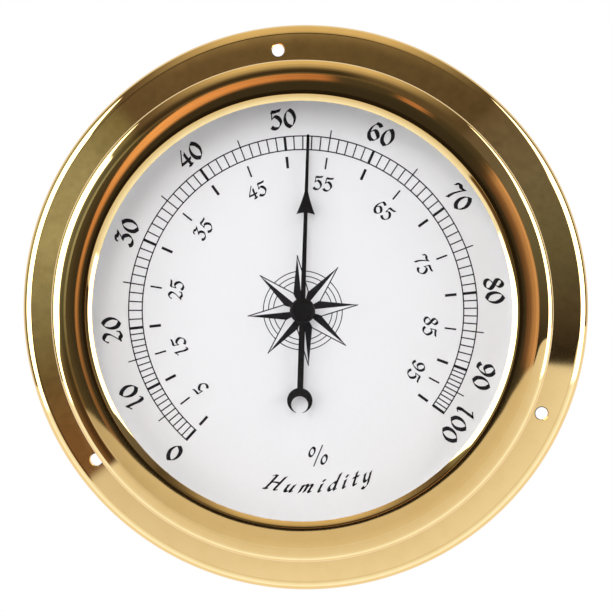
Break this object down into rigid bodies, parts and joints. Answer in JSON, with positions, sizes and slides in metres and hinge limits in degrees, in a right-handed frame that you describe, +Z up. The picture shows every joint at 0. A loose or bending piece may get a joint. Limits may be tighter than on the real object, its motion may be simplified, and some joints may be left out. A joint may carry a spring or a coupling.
{
  "type": "dial hygrometer",
  "caption": "Round wall-mounted brass dial hygrometer with a screw-on bezel, glass, percent scale, coil movement, pointer and calibration screw.",
  "frame": {"origin": "centre of the wall face of the flange, on the dial's axis", "axes": "+Z up to 12 o'clock, +X to the right of the dial as it is read, -Y out of the dial towards the reader, +Y into the wall"},
  "size_m": [0.145, 0.0365, 0.145],
  "materials": {
    "polished_brass": "polished and lacquered, with fine turning marks",
    "turned_brass": "plain turned brass",
    "steel": "bright plated steel",
    "black_rubber": "matte black",
    "clear_glass": "clear flat glass",
    "dial_white": "satin white enamel",
    "movement_metal": "plain milled",
    "white_plastic": "matte white",
    "black_plastic": "fine moulded grain",
    "coil_strip": "copper-coloured strip with a dull humidity-sensitive coat",
    "black_paint": "satin black paint"
  },
  "bodies": {
    "case": {"case_shell": "polished_brass", "cover_lugs": "turned_brass", "locating_pin": "turned_brass", "front_bezel": "polished_brass", "bezel_gasket": "black_rubber", "glass": "clear_glass", "spacer_ring": "white_plastic", "dial_plate": "dial_white", "movement_plate": "movement_metal", "movement_pillars": "turned_brass", "movement_bridge": "turned_brass", "bridge_screws": "steel", "front_bush": "turned_brass", "back_cover": "black_plastic", "back_cover_screws": "steel"},
    "regulator": {"regulator_bush": "turned_brass", "regulator_arm": "turned_brass", "friction_washer": "turned_brass", "coil_stud": "turned_brass", "humidity_coil": "coil_strip"},
    "pointer": {"arbor": "steel", "coil_collet": "turned_brass", "pointer_collet": "turned_brass", "pointer": "black_paint", "pointer_cap": "black_paint"}
  },
  "joints": [
    {"name": "regulator_turn", "type": "hinge", "parent": "case", "child": "regulator", "pos_m": [0, -0.011, 0], "axis": [0, 1, 0], "range_deg": [-20, 20]},
    {"name": "pointer_turn", "type": "hinge", "parent": "regulator", "child": "pointer", "pos_m": [0, -0.027, 0], "axis": [0, 1, 0], "range_deg": [-139.8, 124.2], "stiffness_Nm_per_rad": 0.0005, "deforming": ["humidity_coil"]}
  ]
}
